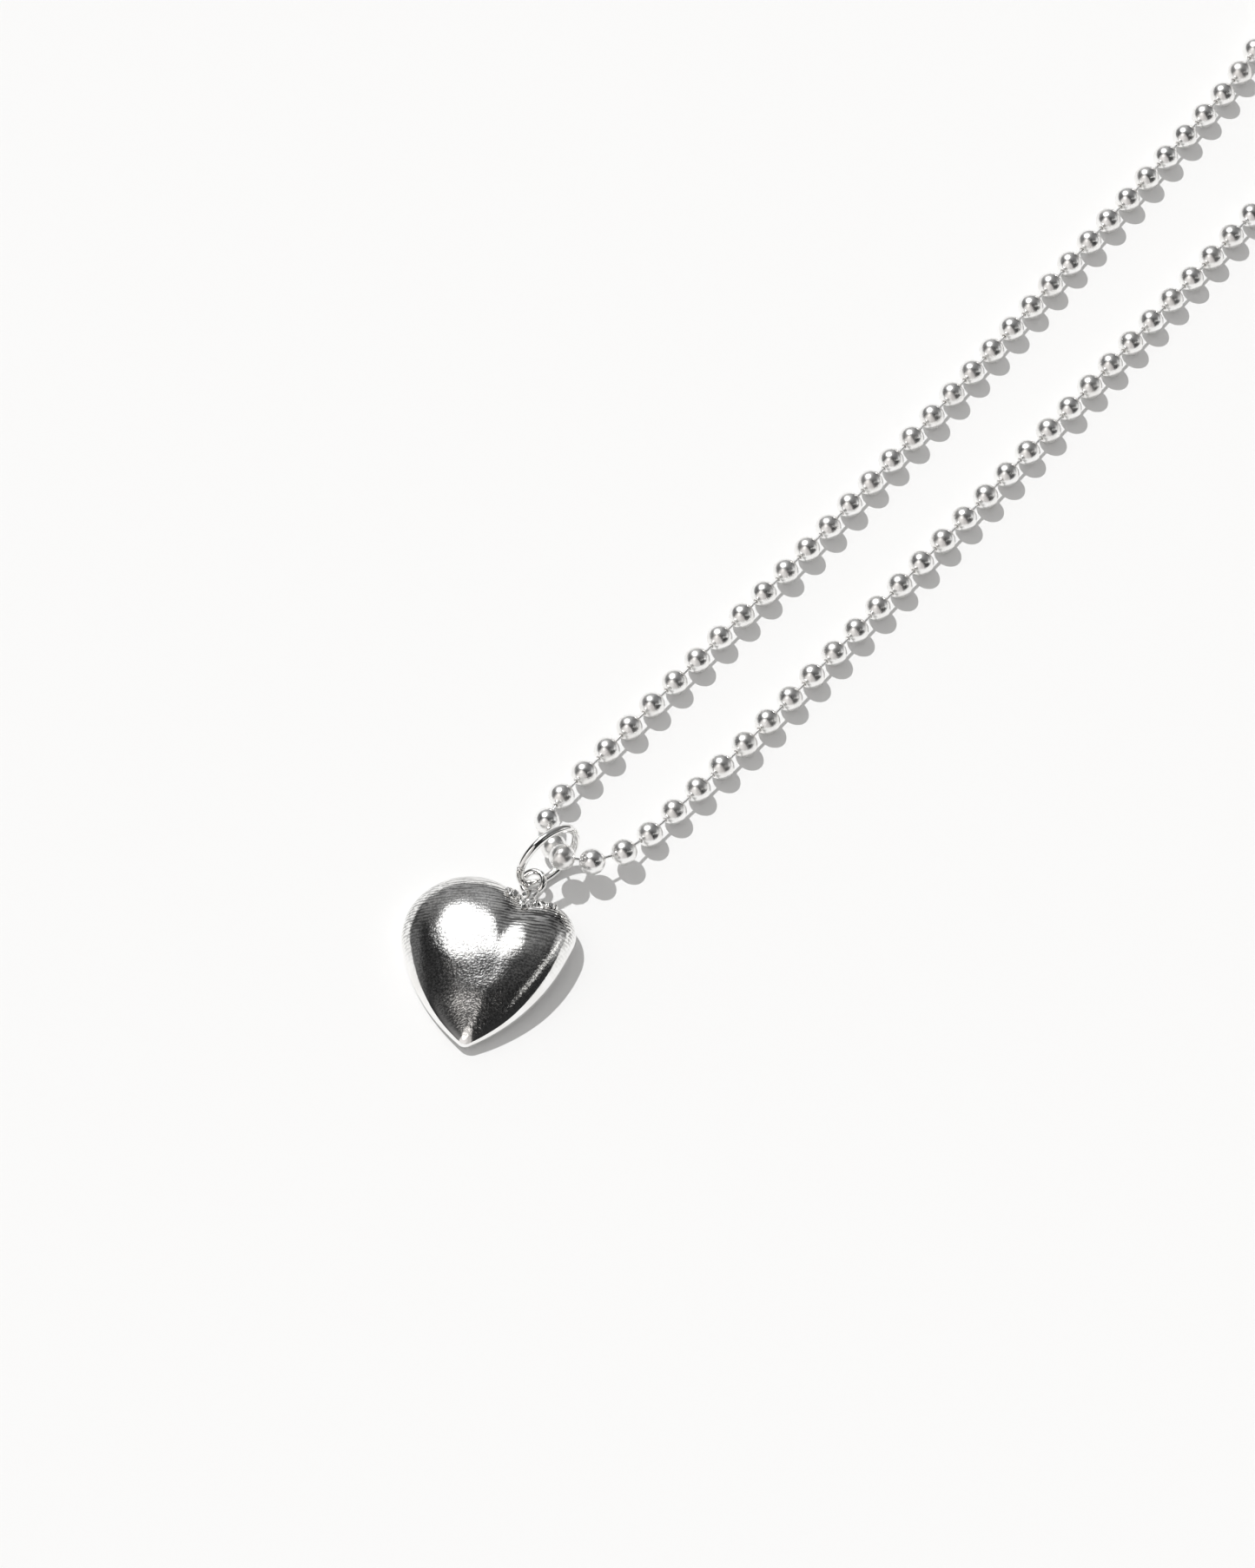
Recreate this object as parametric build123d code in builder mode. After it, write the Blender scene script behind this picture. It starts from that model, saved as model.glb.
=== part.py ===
from build123d import *
from math import asin, atan2, cos, degrees, hypot, radians, sin, sqrt
import os

# A puffed silver heart on a ball chain, lying on a flat surface.
# The floor is z = 0, the neck loop runs along Y and the heart lies at its -Y end.
# All lengths are millimetres and all angles degrees.

# What rests on the floor stands this little above it.
rest_gap = 0.02

# The heart, in its own plane: x across, y from the tip towards the notch.
heart_wall = 0.5
dome_height = 2.6
dome_fullness = 2.27
back_depth = 0.33
left_lobe_x = -3.64
left_lobe_y = 11.32
left_lobe_radius = 6.15
left_flank_radius = 19.96
right_lobe_x = 3.19
right_lobe_y = 12.96
right_lobe_radius = 3.29
right_flank_radius = 17.25
tip_y = 0.68
tip_radius = 1.01
notch_radius = 0.28
peak_x = 0.9
peak_y = 5.64

# Towards the peak the tip and the notch grow rounder by these lengths.
tip_softening = 0.1
notch_softening = 5.76

# Higher levels lean, so that the dome is fullest in its lobes and runs down to the tip.
dome_lean_forward = 14.3
dome_lean_side = 2.7
lean_growth = 1.21

# Levels of the dome by angle, and of the back by share of the outline and of the back's depth.
dome_angles = (9, 20, 33, 47, 61, 74, 84)
hollow_angles = (14, 30, 46, 61, 75)
back_levels = (
    {"share": 0.50, "depth": 1.00},
    {"share": 0.78, "depth": 0.85},
    {"share": 0.93, "depth": 0.50},
    {"share": 1.00, "depth": 0.00},
)

# How the heart lies: its heading and its two small tilts.
heart_heading = 19.8
heart_pitch = 1.62
heart_roll = -4.4

# The soldered eye that the bail ring hangs in, and the neck that carries it.
eye_x = 0.41
eye_y = 18.71
eye_lift = -0.16
eye_wire_radius = 0.32
eye_radius = 1.08
eye_tilt_forward = 19.9
eye_tilt_side = -12.4
neck_root_half_width = 0.4
neck_root_half_height = 0.42
neck_eye_half_width = 0.97
neck_eye_half_height = 0.24
neck_eye_reach = 0.96
neck_root_x = 0.85
neck_root_y = 15.6
neck_root_lift = 0.3

# The bail ring: an oval jump ring, leaning back and cut through once.
bail_spot = (-1.751, -83.859)
bail_wire_radius = 0.4
bail_half_length = 3.39
bail_half_width = 2.61
bail_heading = -13.48
bail_lean = 10.14
bail_roll = 10.18
bail_eye_angle = 222.5
bail_cut_angle = 148.0
bail_cut_width = 0.12

# The ball chain.
ball_radius = 1.25
ball_wall = 0.23
ball_pitch = 3.4
hole_radius = 0.25
pin_radius = 0.14
pin_head_radius = 0.28
pin_play = 0.11

# The coupling that joins the chain's two ends: a plain barrel round the two end balls.
coupling_wall = 0.25
coupling_play = 0.15
coupling_hole_radius = 0.56
coupling_y = 102.5
coupling_edge = 0.1

# The chain's few chosen points: ball centres where it passes the bail, then each side's line.
route = {
    "at_bail": (
        (-5.70, -76.83, 1.25),
        (-5.01, -79.92, 1.30),
        (-2.725, -81.806, 1.25),
        (-0.602, -83.193, 3.17),
        (1.629, -81.449, 2.34),
        (3.088, -78.483, 1.79),
        (3.546, -75.119, 1.25),
    ),
    "left_side": (
        (-5.49, -66.6),
        (-4.92, -46.2),
        (-4.81, -25.9),
        (-5.19, -5.3),
        (-5.87, 25.2),
        (-6.3, 35.0),
        (-9.3, 47.5),
        (-14.6, 59.0),
        (-19.6, 69.5),
        (-22.0, 81.0),
        (-18.6, 92.0),
        (-10.8, 99.5),
    ),
    "right_side": (
        (4.17, -64.9),
        (4.71, -44.4),
        (5.03, -24.1),
        (5.20, 6.7),
        (5.35, 24.0),
        (6.2, 36.0),
        (9.4, 47.5),
        (14.7, 59.0),
        (19.8, 69.5),
        (22.0, 81.0),
        (18.6, 92.0),
        (10.8, 99.5),
    ),
}


def tangent_centre(first, first_reach, second, second_reach, leftmost):
    """The point at the two given distances from two centres, left or right of their line."""
    run_x = second[0] - first[0]
    run_y = second[1] - first[1]
    run = hypot(run_x, run_y)
    along = (first_reach**2 - second_reach**2 + run**2) / (2 * run)
    aside = sqrt(max(first_reach**2 - along**2, 0))
    found = []
    for turn in (1, -1):
        x = first[0] + (along * run_x - turn * aside * run_y) / run
        y = first[1] + (along * run_y + turn * aside * run_x) / run
        found.append((x, y))
    return min(found) if leftmost else max(found)


def heading(start, end):
    return degrees(atan2(end[1] - start[1], end[0] - start[0]))


def arc_between(centre, radius, start_angle, end_angle, turn):
    """An arc from one heading to another, anticlockwise where turn is 1."""
    size = (end_angle - start_angle) % 360 if turn == 1 else -((start_angle - end_angle) % 360)
    return CenterArc(centre, radius, start_angle, size)


def heart_outline(share, inset):
    """Six tangent arcs: two lobes, two flanks, the tip and the notch, shrunk to a share of
    the rim's outline about the peak and then moved in by the inset."""
    right = (peak_x + (right_lobe_x - peak_x) * share, peak_y + (right_lobe_y - peak_y) * share)
    left = (peak_x + (left_lobe_x - peak_x) * share, peak_y + (left_lobe_y - peak_y) * share)
    tip = (peak_x - peak_x * share, peak_y + (tip_y - peak_y) * share)
    right_r = right_lobe_radius * share
    left_r = left_lobe_radius * share
    tip_r = share * (tip_radius + (1 - share) * tip_softening)
    notch_r = share * (notch_radius + (1 - share) * notch_softening)
    right_flank_r = right_flank_radius * share
    left_flank_r = left_flank_radius * share
    right_flank = tangent_centre(right, right_flank_r - right_r, tip, right_flank_r - tip_r, True)
    left_flank = tangent_centre(left, left_flank_r - left_r, tip, left_flank_r - tip_r, False)
    across = tangent_centre(right, right_r + notch_r, left, left_r + notch_r, True)
    other = tangent_centre(right, right_r + notch_r, left, left_r + notch_r, False)
    notch = max(across, other, key=lambda point: point[1])
    arc_between(right, right_r - inset, heading(right_flank, right), heading(right, notch), 1)
    arc_between(notch, notch_r + inset, heading(notch, right), heading(notch, left), -1)
    arc_between(left, left_r - inset, heading(left, notch), heading(left_flank, left), 1)
    arc_between(left_flank, left_flank_r - inset, heading(left_flank, left), heading(left_flank, tip), 1)
    arc_between(tip, tip_r - inset, heading(left_flank, tip), heading(right_flank, tip), 1)
    start, end = heading(right_flank, tip), heading(right_flank, right)
    arc_between(right_flank, right_flank_r - inset, start, end, 1)


def dome_level(angle, height, wall):
    """A level at an angle up the dome, whose upright section is a superellipse, moved in by
    the level part of a wall's thickness."""
    share = cos(radians(angle)) ** (2 / dome_fullness)
    rise = sin(radians(angle)) ** (2 / dome_fullness)
    lean = sin(radians(angle)) ** lean_growth
    return {"share": share, "height": height * rise, "inset": wall * cos(radians(angle)), "lean": lean}


# The bail ring rests on the floor at its lowest point.
bail_normal = Vector(
    cos(radians(bail_lean)) * cos(radians(bail_heading)),
    cos(radians(bail_lean)) * sin(radians(bail_heading)),
    sin(radians(bail_lean)),
)
bail_level = Vector(-sin(radians(bail_heading)), cos(radians(bail_heading)), 0)
bail_long = bail_level.rotate(Axis((0, 0, 0), bail_normal), bail_roll)
bail_short = bail_normal.cross(bail_long)
bail_drop = hypot(bail_half_length * bail_long.Z, bail_half_width * bail_short.Z)
bail_centre = Vector(bail_spot[0], bail_spot[1], rest_gap + bail_wire_radius + bail_drop)
bail_plane = Plane(origin=bail_centre, x_dir=bail_long, z_dir=bail_normal)
cut_half_angle = degrees(bail_cut_width / (bail_half_length + bail_half_width))

heart_turn = Location((0, 0, 0), (0, 0, heart_heading))
heart_turn = heart_turn * Location((0, 0, 0), (heart_pitch, 0, 0)) * Location((0, 0, 0), (0, heart_roll, 0))
heart_tilt = Plane(heart_turn)


def drop(level):
    """How far the left lobe of a level of the back reaches below the rim plane's middle."""
    x = peak_x + (left_lobe_x - peak_x) * level["share"]
    y = (left_lobe_y - peak_y) * level["share"]
    slope = hypot(heart_tilt.x_dir.Z, heart_tilt.y_dir.Z)
    low_side = left_lobe_radius * level["share"] * slope
    return back_depth * level["depth"] + low_side - x * heart_tilt.x_dir.Z - y * heart_tilt.y_dir.Z


# The heart rests on the low side of its back.
heart_lift = rest_gap + max(drop(level) for level in back_levels)

# It lies where the bail's wire runs through the middle of its eye.
in_eye = bail_plane.from_local_coords(
    (bail_half_length * cos(radians(bail_eye_angle)), bail_half_width * sin(radians(bail_eye_angle)))
)
eye_reach = Plane(heart_turn).from_local_coords((eye_x, eye_y - peak_y, eye_lift))
heart_place = Location((in_eye.X - eye_reach.X, in_eye.Y - eye_reach.Y, heart_lift)) * heart_turn
heart_plane = Plane(heart_place * Location((0, -peak_y, 0)))
eye_plane = Plane(
    heart_plane.location
    * Location((eye_x, eye_y, eye_lift), (eye_tilt_forward, 0, 0))
    * Location((0, 0, 0), (0, eye_tilt_side, 0))
)


def level_plane(level):
    """The plane that a level of the heart is drawn on, leaning about the peak."""
    lean = (dome_lean_forward * level["lean"], dome_lean_side * level["lean"], 0)
    above = Location((peak_x, peak_y, level["height"]), lean)
    return Plane(heart_plane.location * above * Location((-peak_x, -peak_y, 0)))


rim_level = {"share": 1, "height": 0, "inset": 0, "lean": 0}
back = [
    {"share": level["share"], "height": -back_depth * level["depth"], "inset": 0, "lean": 0}
    for level in back_levels
]
dome = [rim_level] + [dome_level(angle, dome_height, 0) for angle in dome_angles]

# The hollow's floor is flat, one wall above the back.
hollow_height = dome_height - heart_wall
floor_rise = max(heart_wall - back_depth, 0.02)
floor_angle = degrees(asin((floor_rise / hollow_height) ** (dome_fullness / 2)))
hollow = [dome_level(angle, hollow_height, heart_wall) for angle in (floor_angle, *hollow_angles)]

# The neck runs from inside the rim under the notch to the wire of the eye, and flares to its width.
neck_root = heart_plane.from_local_coords((neck_root_x, neck_root_y, neck_root_lift))
neck_line = (eye_plane.origin - neck_root).normalized()
neck_length = (eye_plane.origin - neck_root).length - neck_eye_reach
neck_across = neck_line.cross(eye_plane.z_dir)
neck_plane = Plane(origin=neck_root, x_dir=neck_across, z_dir=neck_line)

with BuildPart() as heart:
    for levels, straight in ((back, True), (dome, False)):
        for level in levels:
            with BuildSketch(level_plane(level)):
                with BuildLine():
                    heart_outline(level["share"], level["inset"])
                make_face()
        loft(ruled=straight)
    with Locations(eye_plane):
        Torus(eye_radius, eye_wire_radius)
    with BuildSketch(neck_plane):
        Ellipse(neck_root_half_width, neck_root_half_height)
    with BuildSketch(neck_plane.offset(neck_length)):
        Ellipse(neck_eye_half_width, neck_eye_half_height)
    loft()
    for level in hollow:
        with BuildSketch(level_plane(level)):
            with BuildLine():
                heart_outline(level["share"], level["inset"])
            make_face()
    loft(mode=Mode.SUBTRACT)
heart.part.label = "heart"

with BuildPart() as bail_ring:
    with BuildLine(bail_plane) as bail_path:
        EllipticalCenterArc(
            (0, 0),
            bail_half_length,
            bail_half_width,
            start_angle=bail_cut_angle + cut_half_angle,
            arc_size=360 - 2 * cut_half_angle,
        )
    with BuildSketch(Plane(origin=bail_path.line @ 0, z_dir=bail_path.line % 0)):
        Circle(bail_wire_radius)
    sweep()
bail_ring.part.label = "bail_ring"


coupling_bore = ball_radius + coupling_play
coupling_radius = coupling_bore + coupling_wall
coupling_centre = Vector(0, coupling_y, coupling_radius)


def side_centres(name, start, end_x):
    """One side of the chain, from the ball after the bail's stretch to the one in the coupling,
    at equal lengths along the smooth line through the chosen points."""
    points = [start[:2], *route[name], (end_x, coupling_y)]
    with BuildLine():
        line = Spline(*points, tangents=(Vector(points[1]) - Vector(points[0]), (-end_x, 0)))
    count = round(line.length / ball_pitch)
    step = line.length / count
    flat = [line.position_at(step * n, position_mode=PositionMode.LENGTH) for n in range(1, count)]
    last = Vector(end_x, coupling_y, coupling_radius)
    return [Vector(point.X, point.Y, ball_radius) for point in flat] + [last]


left_side = side_centres("left_side", route["at_bail"][0], -ball_pitch / 2)
right_side = side_centres("right_side", route["at_bail"][-1], ball_pitch / 2)
at_bail = [Vector(*point) for point in route["at_bail"]]
ball_centres = left_side[::-1] + at_bail + right_side
print("balls", len(ball_centres))
spacings = [(b - a).length for a, b in zip(ball_centres, ball_centres[1:])]
print("spacing from", round(min(spacings), 3), "to", round(max(spacings), 3))

ball_hollow_radius = ball_radius - ball_wall


def drilled_ball(centre, neighbours):
    """A hollow ball with a hole towards each neighbour that it is pinned to.

    Its seam is turned to one side of the chain, clear of the holes."""
    across = Vector(0, 0, 1).cross(neighbours[0] - centre)
    upright = Plane(origin=centre, x_dir=across, z_dir=(0, 0, 1))
    ball = upright * (Sphere(ball_radius) - Sphere(ball_hollow_radius))
    for neighbour in neighbours:
        towards = Plane(origin=centre, z_dir=neighbour - centre)
        hole = Cylinder(hole_radius, ball_radius * 2, align=(Align.CENTER, Align.CENTER, Align.MIN))
        ball -= towards * hole
    return ball


balls = [
    drilled_ball(centre, ball_centres[max(n - 1, 0) : n] + ball_centres[n + 1 : n + 2])
    for n, centre in enumerate(ball_centres)
]
with BuildPart() as chain_balls:
    add(balls)
chain_balls.part.label = "chain_balls"

# Each pin is a wire with a round head at both ends, as long as the balls' hollows let it be.
pin_length = ball_pitch - 2 * (ball_hollow_radius - pin_head_radius - pin_play)
with BuildPart() as one_pin:
    Cylinder(pin_radius, pin_length)
    with Locations((0, 0, pin_length / 2), (0, 0, -pin_length / 2)):
        Sphere(pin_head_radius)

pins = [
    Plane(origin=(start + end) / 2, z_dir=end - start) * one_pin.part
    for start, end in zip(ball_centres, ball_centres[1:])
]
with BuildPart() as chain_pins:
    add(pins)
chain_pins.part.label = "chain_pins"

# The coupling is closed at both ends but for a hole that the chain runs out of.
coupling_inner_half = ball_pitch / 2 + ball_radius + coupling_play
coupling_half = coupling_inner_half + coupling_wall
coupling_plane = Plane(origin=(0, coupling_y, coupling_radius), z_dir=(1, 0, 0))
with BuildPart(coupling_plane) as coupling:
    Cylinder(coupling_radius, 2 * coupling_half)
    fillet(coupling.edges().filter_by(GeomType.CIRCLE), coupling_edge)
    Cylinder(coupling_bore, 2 * coupling_inner_half, mode=Mode.SUBTRACT)
    Cylinder(coupling_hole_radius, 2 * coupling_half, mode=Mode.SUBTRACT)
coupling.part.label = "coupling"

os.makedirs("parts", exist_ok=True)
export_step(heart.part, "parts/heart.step")
export_step(bail_ring.part, "parts/bail_ring.step")
export_step(chain_balls.part, "parts/chain_balls.step")
export_step(chain_pins.part, "parts/chain_pins.step")
export_step(coupling.part, "parts/coupling.step")
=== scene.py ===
import math
import bpy
import numpy as np
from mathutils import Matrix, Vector


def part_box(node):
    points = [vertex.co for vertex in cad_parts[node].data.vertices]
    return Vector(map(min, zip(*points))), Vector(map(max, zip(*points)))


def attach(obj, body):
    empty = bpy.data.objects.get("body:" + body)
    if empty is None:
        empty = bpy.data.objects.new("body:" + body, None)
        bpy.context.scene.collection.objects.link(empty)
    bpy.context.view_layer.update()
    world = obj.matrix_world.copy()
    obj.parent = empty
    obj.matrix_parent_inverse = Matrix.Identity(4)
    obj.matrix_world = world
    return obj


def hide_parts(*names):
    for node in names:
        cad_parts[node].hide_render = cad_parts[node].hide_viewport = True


# A silver heart on a ball chain, lying on white paper in hard light.
# Sizes in the dictionaries are millimetres and degrees, as a maker would give them, and the
# scales of patterns are per metre.

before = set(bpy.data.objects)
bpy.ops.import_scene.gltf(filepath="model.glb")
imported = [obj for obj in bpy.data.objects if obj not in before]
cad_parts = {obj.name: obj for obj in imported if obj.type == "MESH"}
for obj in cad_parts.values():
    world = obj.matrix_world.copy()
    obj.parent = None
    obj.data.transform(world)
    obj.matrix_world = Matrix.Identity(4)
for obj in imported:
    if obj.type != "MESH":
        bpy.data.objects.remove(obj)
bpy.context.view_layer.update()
mm = 0.001
print("frame loaded:", ", ".join(sorted(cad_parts)))


# --- shared mesh work ---


def unit(v):
    # each vector over its own length
    return v / np.linalg.norm(v, axis=-1, keepdims=True)


def grown(value, fromAndOver):
    # nothing up to a start, then even growth to 1 over a stretch
    start, stretch = fromAndOver
    return np.clip((value - start) / stretch, 0, 1)


def turned(heading, pitch, roll):
    # turn about z by the heading, after x by the pitch, after y by the roll
    a, b, c = np.radians([heading, pitch, roll])
    aboutZ = np.array([[np.cos(a), -np.sin(a), 0], [np.sin(a), np.cos(a), 0], [0, 0, 1]])
    aboutX = np.array([[1, 0, 0], [0, np.cos(b), -np.sin(b)], [0, np.sin(b), np.cos(b)]])
    aboutY = np.array([[np.cos(c), 0, np.sin(c)], [0, 1, 0], [-np.sin(c), 0, np.cos(c)]])
    return aboutZ @ aboutX @ aboutY


def fullTurn(steps):
    # even angles round one turn, from nothing
    return np.linspace(0, 2 * np.pi, steps, endpoint=False)


def circles(middles, radii, first, second, sides):
    # about each middle, the radius times the first direction's cosine and the second's sine;
    # radii is (middles, 1), or (middles, sides) where they change round the circle
    angle = fullTurn(sides)[None, :, None]
    turn = first[:, None] * np.cos(angle) + second[:, None] * np.sin(angle)
    return middles[:, None] + radii[..., None] * turn


def lathe(radii, heights, sides):
    # each radius carried round z, at its own height
    angle = fullTurn(sides)
    level = np.broadcast_to(heights[:, None], (len(heights), sides))
    return np.stack([radii[:, None] * np.cos(angle), radii[:, None] * np.sin(angle), level], -1)


def gridMesh(rings, loop=False):
    # rings is (rows, columns, 3): a quad joins each point to the next column and row,
    # columns close on themselves, and rows close too, or end in a fan round a middle point
    rows, cols = rings.shape[:2]
    last = rows if loop else rows - 1
    r, c = (n.ravel() for n in np.meshgrid(np.arange(last), np.arange(cols), indexing="ij"))
    nextR, nextC = (r + 1) % rows, (c + 1) % cols
    quads = np.stack([r * cols + c, r * cols + nextC, nextR * cols + nextC, nextR * cols + c], 1)
    points = rings.reshape(-1, 3)
    tris = np.zeros((0, 3), int)
    if not loop:
        points = np.concatenate([points, rings[:1].mean(1), rings[-1:].mean(1)])
        first = np.arange(cols)
        second = (first + 1) % cols
        start, end = rows * cols, rows * cols + 1
        top = (rows - 1) * cols
        bottomFan = np.stack([second, first, np.full(cols, start)], 1)
        topFan = np.stack([top + first, top + second, np.full(cols, end)], 1)
        tris = np.concatenate([bottomFan, topFan])
    # six times the volume is the sum of the triple products of the faces' corners; below zero,
    # the faces look inwards and are turned round
    one, two, three, four = (points[quads[:, k]] for k in range(4))
    volume = (one * (np.cross(two, three) + np.cross(three, four))).sum()
    one, two, three = (points[tris[:, k]] for k in range(3))
    volume += (one * np.cross(two, three)).sum()
    if volume < 0:
        quads, tris = quads[:, ::-1], tris[:, ::-1]
    return points, quads, tris


def joined(meshes):
    # several grid meshes as one, with each one's corners counted on from the last
    points, quads, tris, seen = [], [], [], 0
    for p, q, t in meshes:
        points.append(p)
        quads.append(q + seen)
        tris.append(t + seen)
        seen += len(p)
    return np.concatenate(points), np.concatenate(quads), np.concatenate(tris)


def repeated(mesh, copies):
    # the same faces for many copies of the points, copies being (count, points, 3)
    quads, tris = mesh[1], mesh[2]
    count, each = copies.shape[:2]
    step = (np.arange(count) * each)[:, None, None]
    return copies.reshape(-1, 3), (quads + step).reshape(-1, 4), (tris + step).reshape(-1, 3)


def piece(name, mesh, nodeNames, material, marks=None):
    # puts the arrays into a mesh in metres, smooth, hangs it under the root body and hides the frame's parts
    # that it stands for
    points, quads, tris = mesh
    data = bpy.data.meshes.new(name)
    data.from_pydata((points * mm).tolist(), [], quads.tolist() + tris.tolist())
    data.polygons.foreach_set("use_smooth", np.ones(len(data.polygons), bool))
    for mark, values in (marks or {}).items():
        layer = data.attributes.new(mark, "FLOAT", "POINT")
        layer.data.foreach_set("value", np.ascontiguousarray(values, dtype=np.float32))
    data.update()
    data.materials.append(material)
    made = bpy.data.objects.new(name, data)
    bpy.context.scene.collection.objects.link(made)
    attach(made, "root")
    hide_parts(*nodeNames)
    print(name, "has", len(quads) * 2 + len(tris), "triangles")
    return made


# --- camera ---

photoCamera = {
    "place": (234.36, -373.96, 569.55),
    "lookAt": (-2.16, -71.23, 0.0),
    "frameHeight": 1806,
    "focalPixels": 8330,
    "sensor": 36.0,
    "farthest": 50000,
}


def makeCamera(v):
    # the lens is the focal length in pixels over the frame's height, times the sensor; the
    # camera looks along the line from its place to the point it looks at
    data = bpy.data.cameras.new("photo_camera")
    data.sensor_width = v["sensor"]
    data.lens = v["focalPixels"] / v["frameHeight"] * v["sensor"]
    data.clip_end = v["farthest"] * mm
    camera = bpy.data.objects.new("photo_camera", data)
    bpy.context.scene.collection.objects.link(camera)
    camera.location = Vector(v["place"]) * mm
    camera.rotation_euler = (Vector(v["lookAt"]) - Vector(v["place"])).to_track_quat("-Z", "Y").to_euler()
    bpy.context.scene.camera = camera


makeCamera(photoCamera)
print("camera set")


# --- shader groups ---

patterns = {
    "grain": {
        "fineDetail": 2.0, "coarseDetail": 3.0, "roughness": 0.6, "fineShare": 0.7, "coarseShare": 0.5,
        # the finer noise's range over which painted shade on the specks grows from none to full
        "paintedSpeckShadeRange": (0.42, 0.60),
    },
    "lines": {
        "waveDetail": 3.0, "waveDetailScale": 0.35, "waveShare": 0.2, "stretch": (0.16, 1.0, 1.0),
        # the last pair is the lines' height range over which painted shade along them grows from none to
        # full
        "finer": 3.5, "detail": 3.0, "roughness": 0.6, "paintedScratchShadeRange": (0.56, 0.66),
    },
    "tone": {
        "clean": (0.97, 0.967, 0.96, 1), "dull": (0.90, 0.89, 0.87, 1), "detail": 4.0, "roughness": 0.55,
        "patches": (0.35, 0.7),
    },
}


def newGroup(name, ins, outs):
    # an empty node group with its inputs and outputs, each a label and a kind of socket
    tree = bpy.data.node_groups.new(name, "ShaderNodeTree")
    for label, kind in ins:
        tree.interface.new_socket(name=label, in_out="INPUT", socket_type=kind)
    for label, kind in outs:
        tree.interface.new_socket(name=label, in_out="OUTPUT", socket_type=kind)
    return tree, tree.nodes.new("NodeGroupInput").outputs, tree.nodes.new("NodeGroupOutput").inputs


def node(tree, kind, **settings):
    # a new node of the kind, with its settings
    made = tree.nodes.new(kind)
    for key, value in settings.items():
        setattr(made, key, value)
    return made


def fill(tree, socket, value):
    # links what comes out of a node, and sets anything else as the value
    if isinstance(value, bpy.types.NodeSocket):
        tree.links.new(value, socket)
    else:
        socket.default_value = value


def mathNode(tree, operation, *values):
    # one sum, difference, product or absolute value of numbers
    made = node(tree, "ShaderNodeMath", operation=operation)
    for socket, value in zip(made.inputs, values):
        fill(tree, socket, value)
    return made.outputs[0]


def vectorNode(tree, operation, vector, other):
    # the sum or products of two vectors, the dot product, or a vector times one number
    made = node(tree, "ShaderNodeVectorMath", operation=operation)
    fill(tree, made.inputs[0], vector)
    fill(tree, made.inputs["Scale" if operation == "SCALE" else 1], other)
    return made.outputs["Value" if operation == "DOT_PRODUCT" else "Vector"]


def mixNode(tree, share, first, second):
    # the first colour times what is left of the share, and the second times the share; the
    # node's sockets for colours come after those for numbers and vectors
    made = node(tree, "ShaderNodeMix", data_type="RGBA")
    firstColour, secondColour, mixedColour = made.inputs[6], made.inputs[7], made.outputs[2]
    fill(tree, made.inputs["Factor"], share)
    fill(tree, firstColour, first)
    fill(tree, secondColour, second)
    return mixedColour


def ranged(tree, value, low, high, outLow, outHigh, smooth=False):
    # how far the value is from low to high, as a place between the two output values
    made = node(tree, "ShaderNodeMapRange", interpolation_type="SMOOTHSTEP" if smooth else "LINEAR")
    numbers = {"Value": value, "From Min": low, "From Max": high, "To Min": outLow, "To Max": outHigh}
    for label, number in numbers.items():
        fill(tree, made.inputs[label], number)
    return made.outputs["Result"]


def noise(tree, vector, scale, detail, roughness):
    # layers of noise, each half the size of the last, weaker by the roughness
    made = node(tree, "ShaderNodeTexNoise")
    for label, value in (("Vector", vector), ("Scale", scale), ("Detail", detail), ("Roughness", roughness)):
        fill(tree, made.inputs[label], value)
    return made.outputs["Fac"]


def satinGrain(v):
    # fine blasted grain: two sizes of noise added; the shade is painted shade on the specks, 1 where the
    # finer noise is high
    tree, ins, outs = newGroup(
        "satinGrain",
        [("Vector", "NodeSocketVector"), ("Grain Scale", "NodeSocketFloat"),
         ("Speck Scale", "NodeSocketFloat")],
        [("Height", "NodeSocketFloat"), ("Shade", "NodeSocketFloat")],
    )
    fine = noise(tree, ins["Vector"], ins["Grain Scale"], v["fineDetail"], v["roughness"])
    coarse = noise(tree, ins["Vector"], ins["Speck Scale"], v["coarseDetail"], v["roughness"])
    fineShare = mathNode(tree, "MULTIPLY", fine, v["fineShare"])
    coarseShare = mathNode(tree, "MULTIPLY", coarse, v["coarseShare"])
    fill(tree, outs["Height"], mathNode(tree, "ADD", fineShare, coarseShare))
    fill(tree, outs["Shade"], ranged(tree, fine, *v["paintedSpeckShadeRange"], 0.0, 1.0))
    return tree


def brushLines(v):
    # long scratches across one axis: a band wave bent by noise, broken up by stretched noise;
    # the shade is painted shade along the lines, 1 where their height is high
    tree, ins, outs = newGroup(
        "brushLines",
        [("Vector", "NodeSocketVector"), ("Line Scale", "NodeSocketFloat"), ("Bend", "NodeSocketFloat")],
        [("Height", "NodeSocketFloat"), ("Shade", "NodeSocketFloat")],
    )
    wave = node(tree, "ShaderNodeTexWave", wave_type="BANDS", bands_direction="Y", wave_profile="SIN")
    fill(tree, wave.inputs["Vector"], ins["Vector"])
    fill(tree, wave.inputs["Scale"], ins["Line Scale"])
    fill(tree, wave.inputs["Distortion"], ins["Bend"])
    fill(tree, wave.inputs["Detail"], v["waveDetail"])
    fill(tree, wave.inputs["Detail Scale"], v["waveDetailScale"])
    stretched = vectorNode(tree, "MULTIPLY", ins["Vector"], v["stretch"])
    finer = mathNode(tree, "MULTIPLY", ins["Line Scale"], v["finer"])
    broken = noise(tree, stretched, finer, v["detail"], v["roughness"])
    waves = mathNode(tree, "MULTIPLY", wave.outputs["Fac"], v["waveShare"])
    total = mathNode(tree, "ADD", waves, broken)
    fill(tree, outs["Height"], total)
    fill(tree, outs["Shade"], ranged(tree, total, *v["paintedScratchShadeRange"], 0.0, 1.0))
    return tree


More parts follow.
